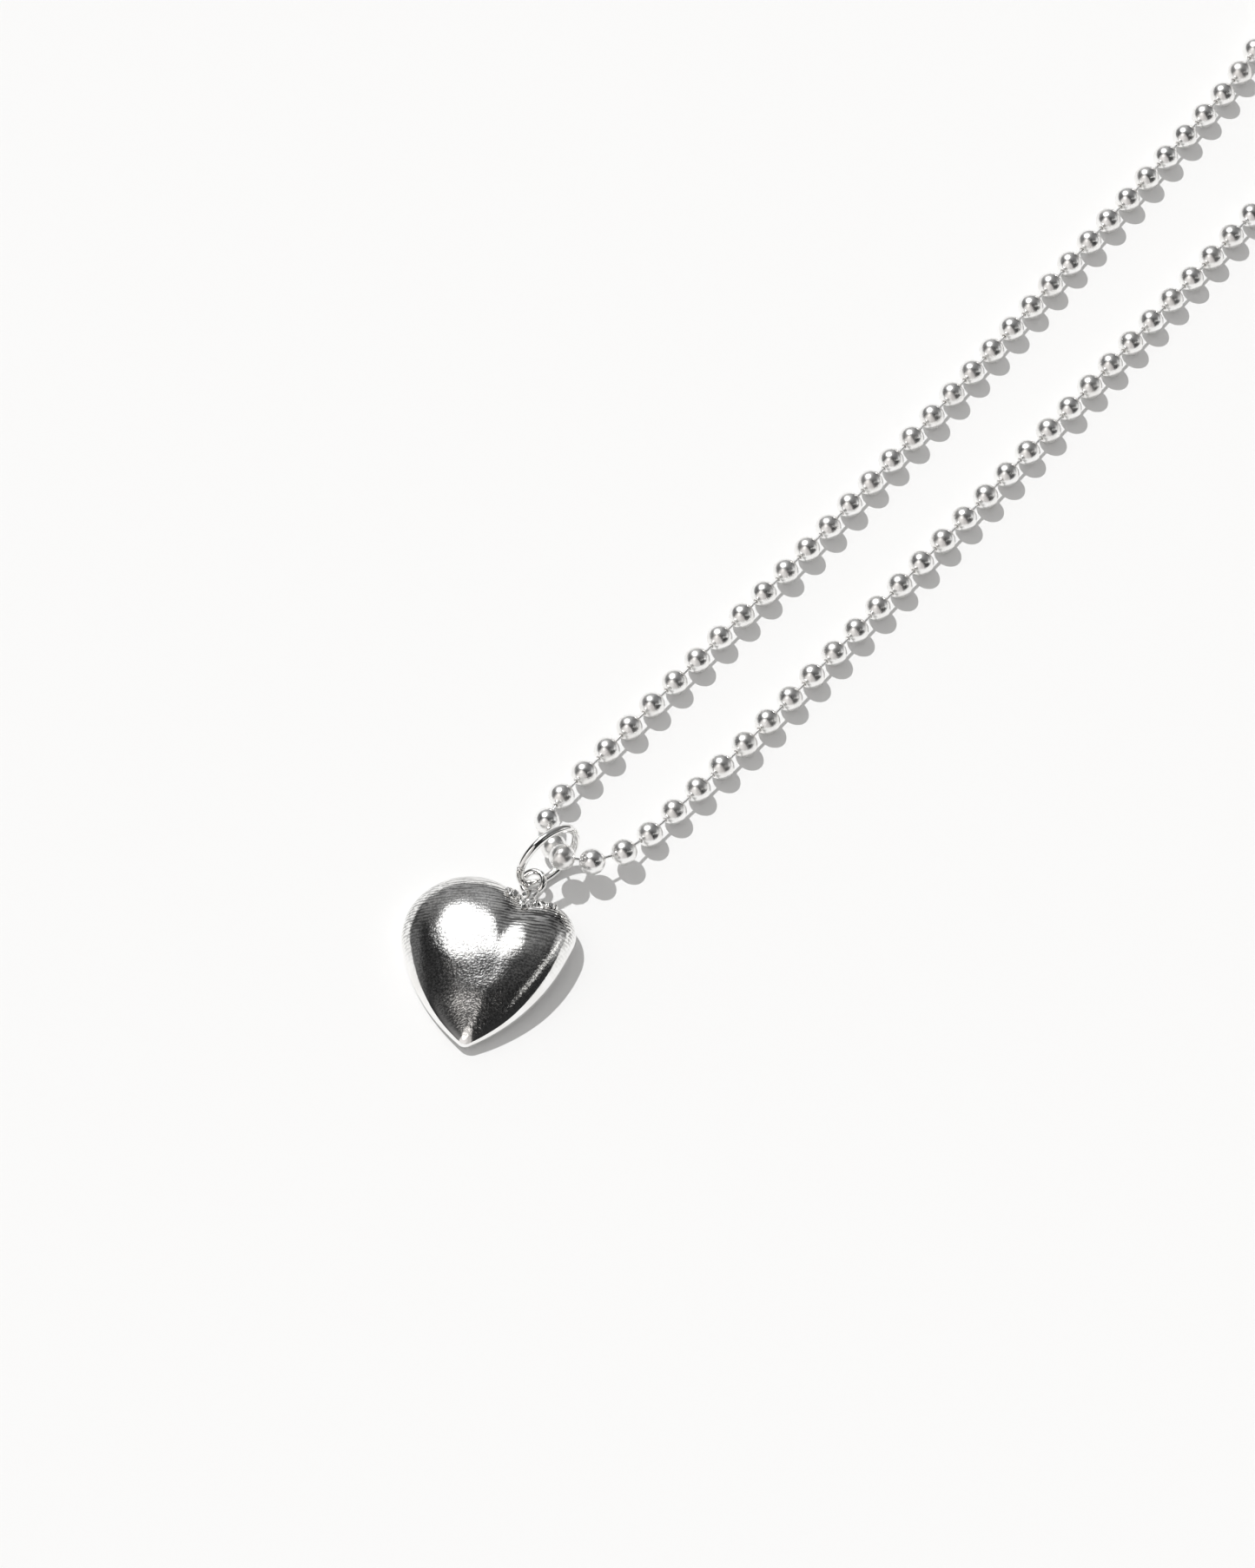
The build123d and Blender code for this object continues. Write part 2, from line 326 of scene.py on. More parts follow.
def silverTone(v):
    # clean silver, a little warmer, duller and rougher in slow patches of noise
    tree, ins, outs = newGroup(
        "silverTone",
        [("Vector", "NodeSocketVector"), ("Patch Scale", "NodeSocketFloat"),
         ("Smoothest", "NodeSocketFloat"), ("Roughest", "NodeSocketFloat")],
        [("Color", "NodeSocketColor"), ("Roughness", "NodeSocketFloat")],
    )
    slow = noise(tree, ins["Vector"], ins["Patch Scale"], v["detail"], v["roughness"])
    patch = ranged(tree, slow, *v["patches"], 0.0, 1.0, True)
    fill(tree, outs["Color"], mixNode(tree, patch, v["clean"], v["dull"]))
    fill(tree, outs["Roughness"], ranged(tree, patch, 0.0, 1.0, ins["Smoothest"], ins["Roughest"]))
    return tree


groups = {
    "grain": satinGrain(patterns["grain"]),
    "lines": brushLines(patterns["lines"]),
    "tone": silverTone(patterns["tone"]),
}
print("shader groups built")


def silver(name, v):
    # polished or satin silver; grain and brush lines are bump, scaled by the piece's own marks,
    # and their shade outputs are painted shade: each, times its mark, takes its share of the colour away
    material = bpy.data.materials.new(name)
    material.use_nodes = True
    tree = material.node_tree
    shader = tree.nodes["Principled BSDF"]
    place = node(tree, "ShaderNodeMapping", vector_type="TEXTURE")
    fill(tree, place.inputs["Vector"], node(tree, "ShaderNodeTexCoord").outputs["Object"])
    fill(tree, place.inputs["Location"], [n * mm for n in v["patternMiddle"]])
    fill(tree, place.inputs["Rotation"], (0, 0, math.radians(v["patternTurn"])))

    def used(key, values):
        # one of the shared groups at this material's place, with its values
        made = node(tree, "ShaderNodeGroup", node_tree=groups[key])
        fill(tree, made.inputs["Vector"], place.outputs["Vector"])
        for label, value in values.items():
            fill(tree, made.inputs[label], value)
        return made.outputs

    tone = used("tone", {
        "Patch Scale": v["patchScale"], "Smoothest": v["smoothest"], "Roughest": v["roughest"]})
    grain = used("grain", {"Grain Scale": v["grainScale"], "Speck Scale": v["speckScale"]})
    colour, rough = tone["Color"], tone["Roughness"]
    height = mathNode(tree, "MULTIPLY", grain["Height"], v["grainShare"])
    if "lineScale" in v:
        satinAndPaintedShade = node(tree, "ShaderNodeAttribute", attribute_name="satinAndPaintedShade").outputs["Fac"]
        brushedAndPaintedShade = node(tree, "ShaderNodeAttribute", attribute_name="brushedAndPaintedShade").outputs["Fac"]
        lines = used("lines", {"Line Scale": v["lineScale"], "Bend": v["lineBend"]})
        height = mathNode(tree, "MULTIPLY", height, satinAndPaintedShade)
        linesHeight = mathNode(tree, "MULTIPLY", lines["Height"], brushedAndPaintedShade)
        height = mathNode(tree, "ADD", height, mathNode(tree, "MULTIPLY", linesHeight, v["lineShare"]))
        # painted shade: the grain's specks and the brush lines darken the base colour
        for shade, mark, share in ((grain, satinAndPaintedShade, v["grainShade"]), (lines, brushedAndPaintedShade, v["lineShade"])):
            loss = mathNode(tree, "MULTIPLY", mathNode(tree, "MULTIPLY", shade["Shade"], mark), share)
            colour = vectorNode(tree, "SCALE", colour, mathNode(tree, "SUBTRACT", 1.0, loss))
        rough = mathNode(tree, "ADD", rough, mathNode(tree, "MULTIPLY", satinAndPaintedShade, v["satinRoughness"]))
    bump = node(tree, "ShaderNodeBump")
    fill(tree, bump.inputs["Distance"], v["bumpDepth"] * mm)
    fill(tree, bump.inputs["Strength"], v["bumpStrength"])
    fill(tree, bump.inputs["Height"], height)
    fill(tree, shader.inputs["Metallic"], 1.0)
    fill(tree, shader.inputs["Base Color"], colour)
    fill(tree, shader.inputs["Roughness"], rough)
    fill(tree, shader.inputs["Normal"], bump.outputs["Normal"])
    return material


# --- the heart ---

heart = {
    "domeHeight": 2.6, "domeFullness": 2.27, "backDepth": 0.33, "backFullness": 0.6, "backEdge": 0.8,
    "leftLobe": (-3.64, 11.32), "leftLobeRadius": 6.15, "leftFlankRadius": 19.96,
    "rightLobe": (3.19, 12.96), "rightLobeRadius": 3.29, "rightFlankRadius": 17.25,
    "tip": (0.0, 0.68), "tipRadius": 1.01, "notchRadius": 0.28, "peak": (0.9, 5.64),
    "tipSoftening": 0.1, "notchSoftening": 5.76,
    "leanForward": 14.3, "leanSide": 2.7, "leanGrowth": 1.21,
    "heading": 19.8, "pitch": 1.62, "roll": -4.4,
    "arcSteps": (44, 16, 64, 52, 16, 52), "domeRows": 96, "domeTop": 88.5,
    "backRows": 24, "backMiddle": 88, "backRim": 4,
    # slow unevenness of a pressed sheet, as waves: radians per millimetre across and along,
    # radians at the start, and height
    "waviness": 0.012,
    "waves": [(0.9, 0.5, 0.4, 1.0), (-0.6, 1.7, 0.0, 0.7), (2.3, 1.1, 2.0, 0.5)],
    # where the marks begin and over how much they grow, by height, place or share of the outline
    "satinAndPaintedShade": (0.4, 0.3), "satinBrushedOff": 0.7, "brushedHeight": (0.15, 0.25),
    "notchBrushed": (1.9, 12.6), "notchBrushedReach": (3.6, 3.2),
    "leftEdge": (6.0, 4.0), "rightEdge": (11.5, 2.0), "edgeShare": (0.6, 0.25), "edgeBrushed": 0.75,
    "look": {
        "patternMiddle": (-0.3, -92.0, 2.0), "patternTurn": 31.0, "patchScale": 350.0,
        "smoothest": 0.04, "roughest": 0.08, "satinRoughness": 0.06,
        # grainShade and lineShade: how much painted shade the specks and the brush lines take from the
        # colour
        "grainScale": 5200.0, "speckScale": 2200.0, "grainShare": 1.0, "grainShade": 0.55,
        "lineScale": 900.0, "lineBend": 4.0, "lineShare": 1.3, "lineShade": 0.8,
        "bumpDepth": 0.021, "bumpStrength": 1.0,
    },
}


def tangentCentre(first, firstReach, second, secondReach, pick):
    # the point at both distances from two centres, one of the two that mirror in their line
    run = second - first
    length = np.linalg.norm(run, axis=1)
    along = (firstReach**2 - secondReach**2 + length**2) / (2 * length)
    aside = np.sqrt(np.maximum(firstReach**2 - along**2, 0))
    e = run / length[:, None]
    across = np.stack([-e[:, 1], e[:, 0]], 1)
    one = first + along[:, None] * e + aside[:, None] * across
    two = first + along[:, None] * e - aside[:, None] * across
    axis, sign = pick
    return np.where((sign * one[:, axis] > sign * two[:, axis])[:, None], one, two)


def angleTo(start, end):
    # heading of each line from start to end: the arc tangent of its rise over its run
    return np.arctan2(end[:, 1] - start[:, 1], end[:, 0] - start[:, 0])


def arcRow(centre, radius, start, end, way, steps):
    # even steps along an arc, from one heading to another, for every row at once
    sweep = way * np.mod(way * (end - start), 2 * np.pi)
    angle = start[:, None] + sweep[:, None] * np.arange(steps) / steps
    return centre[:, None] + radius[:, None, None] * np.stack([np.cos(angle), np.sin(angle)], -1)


def heartOutline(v, share):
    # six tangent arcs, shrunk to the share of the rim's outline about the peak
    peak = np.array(v["peak"])
    right, left, tip = (
        peak + (np.array(v[key]) - peak) * share[:, None] for key in ("rightLobe", "leftLobe", "tip"))
    rightR, leftR = v["rightLobeRadius"] * share, v["leftLobeRadius"] * share
    rightF, leftF = v["rightFlankRadius"] * share, v["leftFlankRadius"] * share
    tipR = share * (v["tipRadius"] + (1 - share) * v["tipSoftening"])
    notchR = share * (v["notchRadius"] + (1 - share) * v["notchSoftening"])
    rightFlank = tangentCentre(right, rightF - rightR, tip, rightF - tipR, (0, -1))
    leftFlank = tangentCentre(left, leftF - leftR, tip, leftF - tipR, (0, 1))
    notch = tangentCentre(right, rightR + notchR, left, leftR + notchR, (1, 1))
    n = v["arcSteps"]
    return np.concatenate([
        arcRow(right, rightR, angleTo(rightFlank, right), angleTo(right, notch), 1, n[0]),
        arcRow(notch, notchR, angleTo(notch, right), angleTo(notch, left), -1, n[1]),
        arcRow(left, leftR, angleTo(left, notch), angleTo(leftFlank, left), 1, n[2]),
        arcRow(leftFlank, leftF, angleTo(leftFlank, left), angleTo(leftFlank, tip), 1, n[3]),
        arcRow(tip, tipR, angleTo(leftFlank, tip), angleTo(rightFlank, tip), 1, n[4]),
        arcRow(rightFlank, rightF, angleTo(rightFlank, tip), angleTo(rightFlank, right), 1, n[5]),
    ], 1)


def heartRings(v):
    # levels from the middle of the back over the rim to the peak; upright, the dome is a
    # superellipse of the share and the height, and the back a shallow bowl; each level of the
    # dome leans about the peak, by the sine of its angle to a power
    back = np.radians(np.linspace(v["backMiddle"], v["backRim"], v["backRows"]))
    dome = np.radians(np.linspace(0, v["domeTop"], v["domeRows"]))
    power = 2 / v["domeFullness"]
    share = np.concatenate([np.cos(back) ** v["backFullness"], np.cos(dome) ** power])
    bowl = -v["backDepth"] * np.sin(back) ** v["backEdge"]
    height = np.concatenate([bowl, v["domeHeight"] * np.sin(dome) ** power])
    flat = heartOutline(v, share)
    # the sum of the waves, none at the rim and below it
    lift = sum(
        high * np.sin(a * flat[..., 0] + b * flat[..., 1] + start) for a, b, start, high in v["waves"])
    bumps = v["waviness"] * lift * np.clip(height / v["domeHeight"], 0, 1)[:, None]
    # about y by the side lean, then about x by the forward lean, both through the peak
    lean = np.concatenate([np.zeros(len(back)), np.sin(dome) ** v["leanGrowth"]])[:, None]
    ahead, aside = np.radians(v["leanForward"]) * lean, np.radians(v["leanSide"]) * lean
    x, y = flat[..., 0] - v["peak"][0], flat[..., 1] - v["peak"][1]
    tiltX = x * np.cos(aside) + bumps * np.sin(aside)
    tiltZ = bumps * np.cos(aside) - x * np.sin(aside)
    rings = np.stack([
        v["peak"][0] + tiltX,
        y * np.cos(ahead) - tiltZ * np.sin(ahead),
        height[:, None] + y * np.sin(ahead) + tiltZ * np.cos(ahead),
    ], -1)
    return rings, share, height


def heartMarks(v, x, y, share, up):
    # satin grows up the dome, and is weaker where it is brushed; brushed is a bell about a spot
    # by the notch, and the edge of the upper half, and neither reaches the rim; both marks
    # also set where the silver's painted shade of specks and lines falls
    (spotX, spotY), (reachX, reachY) = v["notchBrushed"], v["notchBrushedReach"]
    nearNotch = np.exp(-(((x - spotX) / reachX) ** 2 + ((y - spotY) / reachY) ** 2))
    high = np.where(x < 0, grown(y, v["leftEdge"]), grown(y, v["rightEdge"]))
    edge = grown(share, v["edgeShare"])[:, None] * high
    brushedAndPaintedShade = np.clip(nearNotch + v["edgeBrushed"] * edge, 0, 1) * grown(up, v["brushedHeight"])
    satinAndPaintedShade = grown(up, v["satinAndPaintedShade"]) * (1 - v["satinBrushedOff"] * brushedAndPaintedShade)
    # each row's points, then the middles of the first and the last row, as the mesh has them
    return {
        name: np.concatenate([values.ravel(), values[0].mean(keepdims=True), values[-1].mean(keepdims=True)])
        for name, values in (("satinAndPaintedShade", satinAndPaintedShade), ("brushedAndPaintedShade", brushedAndPaintedShade))
    }


def makeHeart(v):
    # the rings turned as the heart lies; its lowest corner goes to the lowest corner of the CAD
    # heart's box. What it gives back says how it lies and where the points of its dome are
    rings, share, height = heartRings(v)
    turn = turned(v["heading"], v["pitch"], v["roll"])
    placed = rings @ turn.T
    shift = np.array(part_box("heart")[0]) / mm - placed.reshape(-1, 3).min(0)
    placed = placed + shift
    up = np.clip(height / v["domeHeight"], 0, 1)[:, None] * np.ones(rings.shape[1])
    x, y = rings[..., 0], rings[..., 1] + v["peak"][1]
    marks = heartMarks(v, x, y, share, up)
    material = silver("heart silver", v["look"])
    piece("heart_body", gridMesh(placed), ["heart"], material, marks)
    return {
        "turn": turn, "shift": shift, "peak": np.array([0, v["peak"][1], 0]),
        "domeOwn": np.stack([x, y], -1)[v["backRows"]:].reshape(-1, 2),
        "domePlaced": placed[v["backRows"]:].reshape(-1, 3),
    }


heartLies = makeHeart(heart)


# --- the eye and its soldered neck ---

eye = {
    "middle": (0.41, 18.71, -0.16), "radius": 1.08, "wire": 0.32, "wireUneven": 0.04,
    "tiltForward": 19.9, "tiltSide": -12.4, "steps": 72, "sides": 28,
    "neckRoot": (0.85, 15.6, 0.3), "rootHalf": (0.4, 0.42), "eyeHalf": (0.97, 0.24), "eyeReach": 0.96,
    "neckRows": 30, "neckRounded": (0.88, 0.125),
    # ripples of solder: their height, waves round the neck, and radians along it for two waves
    "ripple": 0.05, "rippleRound": 3, "rippleAlong": (7, 17),
    # each drop: x and y on the heart, as the heart's outline has them, and its radius
    "drops": [
        (1.1, 14.6, 0.40), (1.5, 15.0, 0.50), (2.05, 15.15, 0.56), (2.7, 15.2, 0.50), (3.3, 15.3, 0.52),
        (3.85, 15.4, 0.40), (0.7, 15.1, 0.46), (0.2, 15.6, 0.46), (-0.3, 15.95, 0.48), (-0.8, 15.95, 0.38),
        (1.9, 14.7, 0.32), (2.9, 14.85, 0.30), (-0.5, 15.5, 0.28),
    ],
    "dropSides": 18, "dropRows": 12, "dropPole": 6.8755,
    "dropSink": 0.2, "dropUneven": 0.12, "dropFlat": 0.8,
    "look": {
        "patternMiddle": (0, 0, 0), "patternTurn": 0.0, "patchScale": 900.0,
        "smoothest": 0.05, "roughest": 0.10, "grainScale": 2600.0, "speckScale": 1100.0,
        "grainShare": 1.0, "bumpDepth": 0.014, "bumpStrength": 0.5,
    },
}


def eyeRing(v, middle, tilt):
    # a circle about the middle, with a slightly uneven round wire carried along it
    angle = fullTurn(v["steps"])[:, None]
    out = np.cos(angle) * tilt[:, 0] + np.sin(angle) * tilt[:, 1]
    wire = v["wire"] * (1 + v["wireUneven"] * np.sin(3 * angle + 1))
    normal = np.broadcast_to(tilt[:, 2], out.shape)
    return gridMesh(circles(middle + v["radius"] * out, wire, out, normal, v["sides"]), loop=True)


def eyeNeck(v, middle, root, tilt):
    # ellipses from under the rim to the wire, widening evenly, with solder ripples; the last
    # ones shrink as a quarter circle does, so the end is round
    axis = unit(middle - root)
    length = np.linalg.norm(middle - root) - v["eyeReach"]
    across = unit(np.cross(axis, tilt[:, 2]))
    thick = np.cross(across, axis)
    t = np.linspace(0, 1, v["neckRows"])[:, None]
    rootHalf, eyeHalf = np.array(v["rootHalf"]), np.array(v["eyeHalf"])
    half = (rootHalf + (eyeHalf - rootHalf) * t) * np.sqrt(1 - grown(t, v["neckRounded"]) ** 2)
    twist, along = v["rippleAlong"]
    waves = np.sin(v["rippleRound"] * fullTurn(v["sides"]) + twist * t) + np.sin(along * t + 1)
    wide, high = half[:, :1] * across, half[:, 1:] * thick
    return gridMesh(circles(root + axis * t * length, 1 + v["ripple"] * waves, wide, high, v["sides"]))


def solderDrop(v, n, lies):
    # a round lump on the nearest point of the dome, sunk in, a little flattened and uneven
    x, y, size = v["drops"][n]
    theta = np.radians(np.linspace(v["dropPole"], 180 - v["dropPole"], v["dropRows"]))[:, None]
    angle = fullTurn(v["dropSides"])
    spot = np.hypot(lies["domeOwn"][:, 0] - x, lies["domeOwn"][:, 1] - y).argmin()
    uneven = 1 + v["dropUneven"] * np.sin(2 * angle + n) * np.sin(3 * theta + 2 * n)
    ball = [np.sin(theta) * np.cos(angle), np.sin(theta) * np.sin(angle),
            v["dropFlat"] * np.cos(theta) * np.ones(len(angle))]
    lump = size * uneven[..., None] * np.stack(ball, -1)
    centre = lies["domePlaced"][spot] - v["dropSink"] * size * lies["turn"][:, 2]
    return gridMesh(centre + lump @ lies["turn"].T)


def makeEye(v, lies):
    # the ring's middle and the neck's root turn and shift as the heart does
    middle, root = (
        (np.array(v[key]) - lies["peak"]) @ lies["turn"].T + lies["shift"] for key in ("middle", "neckRoot"))
    tilt = lies["turn"] @ turned(0, v["tiltForward"], v["tiltSide"])
    drops = [solderDrop(v, n, lies) for n in range(len(v["drops"]))]
    mesh = joined([eyeRing(v, middle, tilt), eyeNeck(v, middle, root, tilt)] + drops)
    piece("eye_and_neck", mesh, ["heart"], silver("solder silver", v["look"]))


makeEye(eye, heartLies)


# --- the bail ring ---

bailRing = {
    "wire": 0.4, "halfLength": 3.39, "halfWidth": 2.61,
    "heading": -13.48, "lean": 10.14, "roll": 10.18,
    "cutAngle": 148.0, "cutWidth": 0.12, "endNarrowing": 0.05, "endReach": 1.5,
    "steps": 150, "sides": 24,
    "look": {
        "patternMiddle": (0, 0, 0), "patternTurn": 0.0, "patchScale": 500.0,
        "smoothest": 0.03, "roughest": 0.08, "grainScale": 2600.0, "speckScale": 900.0,
        "grainShare": 0.6, "bumpDepth": 0.012, "bumpStrength": 0.35,
    },
}


def makeBailRing(v):
    # an ellipse in a leaning plane, opened by the cut, whose wire narrows a little at its ends
    a, b, roll, start = np.radians([v["heading"], v["lean"], v["roll"], v["cutAngle"]])
    normal = np.array([np.cos(b) * np.cos(a), np.cos(b) * np.sin(a), np.sin(b)])
    level = np.array([-np.sin(a), np.cos(a), 0])
    longWay = np.cos(roll) * level + np.sin(roll) * np.cross(normal, level)
    shortWay = np.cross(normal, longWay)
    halfCut = v["cutWidth"] / (v["halfLength"] + v["halfWidth"])
    t = (start + halfCut + (2 * np.pi - 2 * halfCut) * np.linspace(0, 1, v["steps"]))[:, None]
    low, high = (np.array(corner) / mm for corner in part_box("bail_ring"))
    oval = v["halfLength"] * np.cos(t) * longWay + v["halfWidth"] * np.sin(t) * shortWay
    path = (low + high) / 2 + oval
    steps = np.arange(v["steps"])
    fromEnd = np.minimum(steps, steps[::-1])[:, None]
    radii = v["wire"] * (1 - v["endNarrowing"] * np.exp(-fromEnd / v["endReach"]))
    along = unit(np.gradient(path, axis=0))
    across = unit(np.cross(along, normal))
    mesh = gridMesh(circles(path, radii, across, np.cross(across, along), v["sides"]))
    piece("bail_wire", mesh, ["bail_ring"], silver("ring silver", v["look"]))


makeBailRing(bailRing)


# --- the ball chain ---

chain = {
    "ballRadius": 1.25, "holeRadius": 0.25, "lip": 0.05, "pitDepth": 0.3, "ballSides": 20, "ballRows": 13,
    # the pit's rows from its floor to the lip: shares of the lip out from the hole, and in from the rim
    "pitOut": (0.0, 0.0, 0.3), "pitIn": (0.9, 0.25),
    "pinLength": 2.14, "pinRadius": 0.14, "pinHead": 0.28, "pinNeck": 0.4, "pinPole": 14.3239,
    "pinSides": 8, "pinHeadRows": 5,
    # only corners farther than this from a ball's middle lie on its outer skin
    "skinFrom": 1.1,
    # the first ball is the coupling's, in this direction from the barrel's middle
    "firstBall": (-1.7, 0, 0),
    "look": {
        "patternMiddle": (0, 0, 0), "patternTurn": 0.0, "patchScale": 420.0,
        "smoothest": 0.24, "roughest": 0.32, "grainScale": 2400.0, "speckScale": 700.0,
        "grainShare": 1.0, "bumpDepth": 0.03, "bumpStrength": 0.5,
    },
}


def looseMiddles(nodeName, reach):
    # corners at the same place are one; a label spreads over each loose solid by taking the
    # lowest of its faces' labels; the outer corners of each lie on a sphere, fitted by least squares
    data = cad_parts[nodeName].data
    points = np.zeros(len(data.vertices) * 3)
    data.vertices.foreach_get("co", points)
    points = points.reshape(-1, 3) / mm
    data.calc_loop_triangles()
    faces = np.zeros(len(data.loop_triangles) * 3, int)
    data.loop_triangles.foreach_get("vertices", faces)
    spots, same = np.unique(np.round(points, 4), axis=0, return_inverse=True)
    faces = same.ravel()[faces].reshape(-1, 3)
    label = np.arange(len(spots))
    while True:
        lowest = label[faces].min(1)
        spread = label.copy()
        np.minimum.at(spread, faces.ravel(), np.repeat(lowest, 3))
        spread = spread[spread]
        if (spread == label).all():
            break
        label = spread
    which = np.unique(label, return_inverse=True)[1].ravel()
    count = which.max() + 1
    low = np.full((count, 3), np.inf)
    high = -low
    np.minimum.at(low, which, spots)
    np.maximum.at(high, which, spots)
    rough = (low + high) / 2
    outer = np.linalg.norm(spots - rough[which], axis=1) > reach
    local = spots[outer] - rough[which[outer]]
    rows = np.concatenate([2 * local, np.ones((len(local), 1))], 1)
    left = np.zeros((count, 4, 4))
    right = np.zeros((count, 4))
    np.add.at(left, which[outer], rows[:, :, None] * rows[:, None, :])
    np.add.at(right, which[outer], rows * (local**2).sum(1)[:, None])
    return rough + np.linalg.solve(left, right[..., None])[:, :3, 0]


def inOrder(middles, start):
    # from the ball nearest the start, always on to the nearest ball not yet strung
    left = list(range(len(middles)))
    here = min(left, key=lambda i: np.linalg.norm(middles[i] - start))
    order = [here]
    left.remove(here)
    while left:
        here = min(left, key=lambda i: np.linalg.norm(middles[i] - middles[here]))
        order.append(here)
        left.remove(here)
    return middles[order]


def levelAcross(axis):
    # the level direction across each axis: up crossed with it
    return unit(np.cross(np.broadcast_to([0.0, 0.0, 1.0], axis.shape), axis))


def ballMesh(v):
    # profile: the pit's floor and wall, a rolled lip, then the sphere from pole to pole
    r, hole, lip = v["ballRadius"], v["holeRadius"], v["lip"]
    edge = math.asin((hole + lip) / r)
    theta = np.linspace(edge, np.pi - edge, v["ballRows"])
    pitR = hole + np.array(v["pitOut"]) * lip
    pitZ = np.array([r - v["pitDepth"]] + [r * math.cos(edge) - share * lip for share in v["pitIn"]])
    radii = np.concatenate([pitR, r * np.sin(theta), pitR[::-1]])
    heights = np.concatenate([pitZ, r * np.cos(theta), -pitZ[::-1]])
    return gridMesh(lathe(radii, heights, v["ballSides"]))


def makeBalls(v, middles):
    # each ball's axis runs from its last neighbour to its next, and its bend points from the
    # ball to where they are; a ball in line with both has none, and takes a level direction
    mesh = ballMesh(v)
    toNext, toLast = unit(np.roll(middles, -1, 0) - middles), unit(np.roll(middles, 1, 0) - middles)
    axis = unit(toNext - toLast)
    bend = toNext + toLast
    size = np.linalg.norm(bend, axis=1, keepdims=True)
    straight = 1e-3
    side = np.where(size > straight, bend / np.maximum(size, straight), levelAcross(axis))
    side = unit(side - axis * (side * axis).sum(1, keepdims=True))
    third = np.cross(axis, side)
    halfBend = np.arcsin(np.clip(size / 2, 0, 1))
    # points turn towards the bend by more the nearer they are to a pole, by 1.5 t - 0.5 t cubed
    # of the height's share t, so the ball stays round and its holes face its neighbours
    t = mesh[0][:, 2] / np.linalg.norm(mesh[0], axis=1)
    w = halfBend * (t * (1.5 - 0.5 * t**2))
    x = mesh[0][:, 0] * np.cos(w) + mesh[0][:, 2] * np.sin(w)
    z = mesh[0][:, 2] * np.cos(w) - mesh[0][:, 0] * np.sin(w)
    y = np.broadcast_to(mesh[0][:, 1], x.shape)
    copies = sum(part[..., None] * way[:, None] for part, way in ((x, side), (y, third), (z, axis)))
    balls = repeated(mesh, middles[:, None] + copies)
    piece("silver_balls", balls, ["chain_balls"], silver("chain silver", v["look"]))


def makePins(v, middles):
    # profile: a round head, the neck and a round head, in even steps of the head's angle; each
    # pin lies midway between two balls, along the line between them
    r, head, half = v["pinRadius"], v["pinHead"], v["pinLength"] / 2
    theta = np.linspace(math.radians(v["pinPole"]), np.pi - math.asin(r / head), v["pinHeadRows"])
    headR, headZ = head * np.sin(theta), half + head * np.cos(theta)
    radii = np.concatenate([headR, [r, r], headR[::-1]])
    heights = np.concatenate([headZ, [half - v["pinNeck"], v["pinNeck"] - half], -headZ[::-1]])
    mesh = gridMesh(lathe(radii, heights, v["pinSides"]))
    axis = unit(middles[1:] - middles[:-1])
    across = levelAcross(axis)
    ways = (across, np.cross(axis, across), axis)
    copies = sum(mesh[0][None, :, k, None] * way[:, None] for k, way in enumerate(ways))
    pins = repeated(mesh, copies + ((middles[1:] + middles[:-1]) / 2)[:, None])
    piece("silver_pins", pins, ["chain_pins"], silver("pin silver", v["look"]))


couplingBox = [np.array(corner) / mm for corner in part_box("coupling")]
couplingMiddle = (couplingBox[0] + couplingBox[1]) / 2
firstBall = couplingMiddle + np.array(chain["firstBall"])
ballMiddles = inOrder(looseMiddles("chain_balls", chain["skinFrom"]), firstBall)
pitch = np.linalg.norm(np.diff(ballMiddles, axis=0), axis=1).mean()
print("balls strung:", len(ballMiddles), "pitch", round(float(pitch), 3))
makeBalls(chain, ballMiddles)
makePins(chain, ballMiddles)


# --- the coupling ---

coupling = {
    "wall": 0.25, "holeRadius": 0.56, "edge": 0.12, "edgeSteps": 7, "sides": 48,
    "skinInset": 0.9, "skinSteps": 24, "grooveInset": 1.1, "grooveDepth": 0.04, "grooveWidth": 0.12,
    "crispFrom": 50,
    "look": {
        "patternMiddle": (0, 102.5, 1.65), "patternTurn": 90.0, "patchScale": 500.0,
        "smoothest": 0.05, "roughest": 0.12, "grainScale": 2600.0, "speckScale": 900.0,
        "grainShare": 1.0, "bumpDepth": 0.02, "bumpStrength": 0.4,
    },
}


def makeCoupling(v):
    # a barrel turned about its long axis: outer skin with a rolled groove near each end, round
    # edges, end walls with their holes and the bore, as one closed profile
    size = couplingBox[1] - couplingBox[0]
    half, r, hole = size[0] / 2, size[2] / 2, v["holeRadius"]
    innerEnd, bore = half - v["wall"], r - v["wall"]
    angle = np.radians(np.linspace(0, 90, v["edgeSteps"]))
    edgeX = half - v["edge"] + v["edge"] * np.sin(angle)
    edgeR = r - v["edge"] + v["edge"] * np.cos(angle)
    skinX = np.linspace(v["skinInset"] - half, half - v["skinInset"], v["skinSteps"])
    fromGroove = (np.abs(skinX) - half + v["grooveInset"]) / v["grooveWidth"]
    groove = v["grooveDepth"] * np.exp(-(fromGroove**2))
    innerX = [half, innerEnd, innerEnd, -innerEnd, -innerEnd, -half]
    along = np.concatenate([skinX, edgeX, innerX, -edgeX[::-1]])
    radii = np.concatenate([r - groove, edgeR, [hole, hole, bore, bore, hole, hole], edgeR[::-1]])
    # the lathe's z is the barrel's x
    rings = couplingMiddle + lathe(radii, along, v["sides"])[..., [2, 0, 1]]
    made = piece("coupling_barrel", gridMesh(rings, loop=True), ["coupling"],
                 silver("coupling silver", v["look"]))
    crisp = made.modifiers.new("crisp", "EDGE_SPLIT")
    crisp.split_angle = math.radians(v["crispFrom"])


makeCoupling(coupling)


# --- paper, light and surroundings ---

